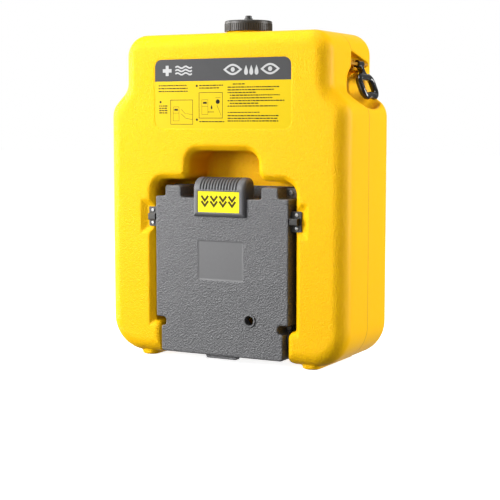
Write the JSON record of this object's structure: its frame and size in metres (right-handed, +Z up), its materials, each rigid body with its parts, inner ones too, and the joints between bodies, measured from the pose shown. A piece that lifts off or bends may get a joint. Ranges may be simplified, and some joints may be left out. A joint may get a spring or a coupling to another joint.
{
  "type": "portable eyewash station",
  "caption": "Portable gravity-fed eyewash: shouldered water tank with screw cap, strap rings and a recess that holds a pull-down bowl with flip-cap spray heads.",
  "frame": {"origin": "on the ground under the middle of the tank, in the plane of the U-shaped foot", "axes": "+X to the right as seen from the front, +Y to the wall behind, +Z up"},
  "size_m": [0.4385, 0.18, 0.5424],
  "materials": {
    "tank": "pebbled moulded polyethylene",
    "tray": "textured moulded plastic",
    "black": "satin moulded plastic",
    "gloss_black": "glossy moulded plastic",
    "dark_nylon": "satin nylon",
    "white_nylon": "satin nylon",
    "cover_yellow": "glossy moulded plastic",
    "label_dark": "printed film",
    "label_yellow": "printed film",
    "steel": "stainless",
    "brass": "turned",
    "seal": "moulded"
  },
  "bodies": {
    "tank": {"tank_shell": "tank", "header_label": "label_dark", "instruction_label": "label_yellow", "rear_inserts": "brass", "latch_screws": "steel", "latch_plate_left": "black", "latch_plate_right": "black", "hinge_insert": "brass", "hinge_pin": "steel", "valve_body": "dark_nylon", "valve_gasket": "seal", "inlet_strainer": "steel", "ring_pin_left": "steel", "ring_pin_right": "steel"},
    "tray": {"tray_shell": "tray", "tray_basin": "tray", "tray_screws": "steel", "drain_bush": "tray", "handle_grip": "tray", "handle_screws": "steel", "pull_label": "label_yellow", "hinge_bush": "white_nylon", "valve_plug": "white_nylon", "valve_seals": "seal", "plug_screws": "steel", "supply_pipe": "white_nylon", "spray_bar": "white_nylon", "pipe_clips": "black", "spray_head_left": "white_nylon", "spray_head_right": "white_nylon", "dust_cover_pins": "steel"},
    "cap_seal": {"cap_gasket": "seal"},
    "cap": {"filler_cap": "black"},
    "vent": {"vent_knob": "black", "vent_seal": "seal", "vent_clip": "black"},
    "latch_left": {"latch_plunger_left": "dark_nylon", "latch_spring_left": "steel"},
    "latch_right": {"latch_plunger_right": "dark_nylon", "latch_spring_right": "steel"},
    "ring_left": {"strap_ring_left": "gloss_black"},
    "ring_right": {"strap_ring_right": "gloss_black"},
    "cover_left": {"dust_cover_left": "cover_yellow"},
    "cover_right": {"dust_cover_right": "cover_yellow"}
  },
  "joints": [
    {"name": "tray_hinge", "type": "hinge", "parent": "tank", "child": "tray", "pos_m": [0, -0.061, 0.041], "axis": [1, 0, 0], "range_deg": [0, 90]},
    {"name": "cap_lift", "type": "slide", "parent": "tank", "child": "cap_seal", "axis": [0, 0, 1], "range_m": [0, 0.0091]},
    {"name": "cap_turn", "type": "hinge", "parent": "cap_seal", "child": "cap", "pos_m": [0, 0.004, 0.52], "axis": [0, 0, 1], "range_deg": [0, 540]},
    {"name": "vent_lift", "type": "slide", "parent": "cap", "child": "vent", "axis": [0, 0, 1], "range_m": [0, 0.003]},
    {"name": "latch_press_left", "type": "slide", "parent": "tank", "child": "latch_left", "axis": [-1, 0, 0], "range_m": [0, 0.0025], "stiffness_N_per_m": 600, "springref_m": -0.001},
    {"name": "latch_press_right", "type": "slide", "parent": "tank", "child": "latch_right", "axis": [1, 0, 0], "range_m": [0, 0.0025], "stiffness_N_per_m": 600, "springref_m": -0.001},
    {"name": "ring_swing_left", "type": "hinge", "parent": "tank", "child": "ring_left", "pos_m": [-0.177, 0.036, 0.464], "axis": [0, 1, 0], "range_deg": [-38, 40]},
    {"name": "ring_swing_right", "type": "hinge", "parent": "tank", "child": "ring_right", "pos_m": [0.177, 0.036, 0.464], "axis": [0, -1, 0], "range_deg": [0, 78]},
    {"name": "cover_flip_left", "type": "hinge", "parent": "tray", "child": "cover_left", "pos_m": [-0.0615, -0.0542, 0.15], "axis": [0, 0, 1], "range_deg": [0, 100]},
    {"name": "cover_flip_right", "type": "hinge", "parent": "tray", "child": "cover_right", "pos_m": [0.0615, -0.0542, 0.15], "axis": [0, 0, -1], "range_deg": [0, 100]}
  ],
  "couplings": [
    {"joint": "cap_lift", "follows": "cap_turn", "m_per_rad": 0.00095493}
  ]
}
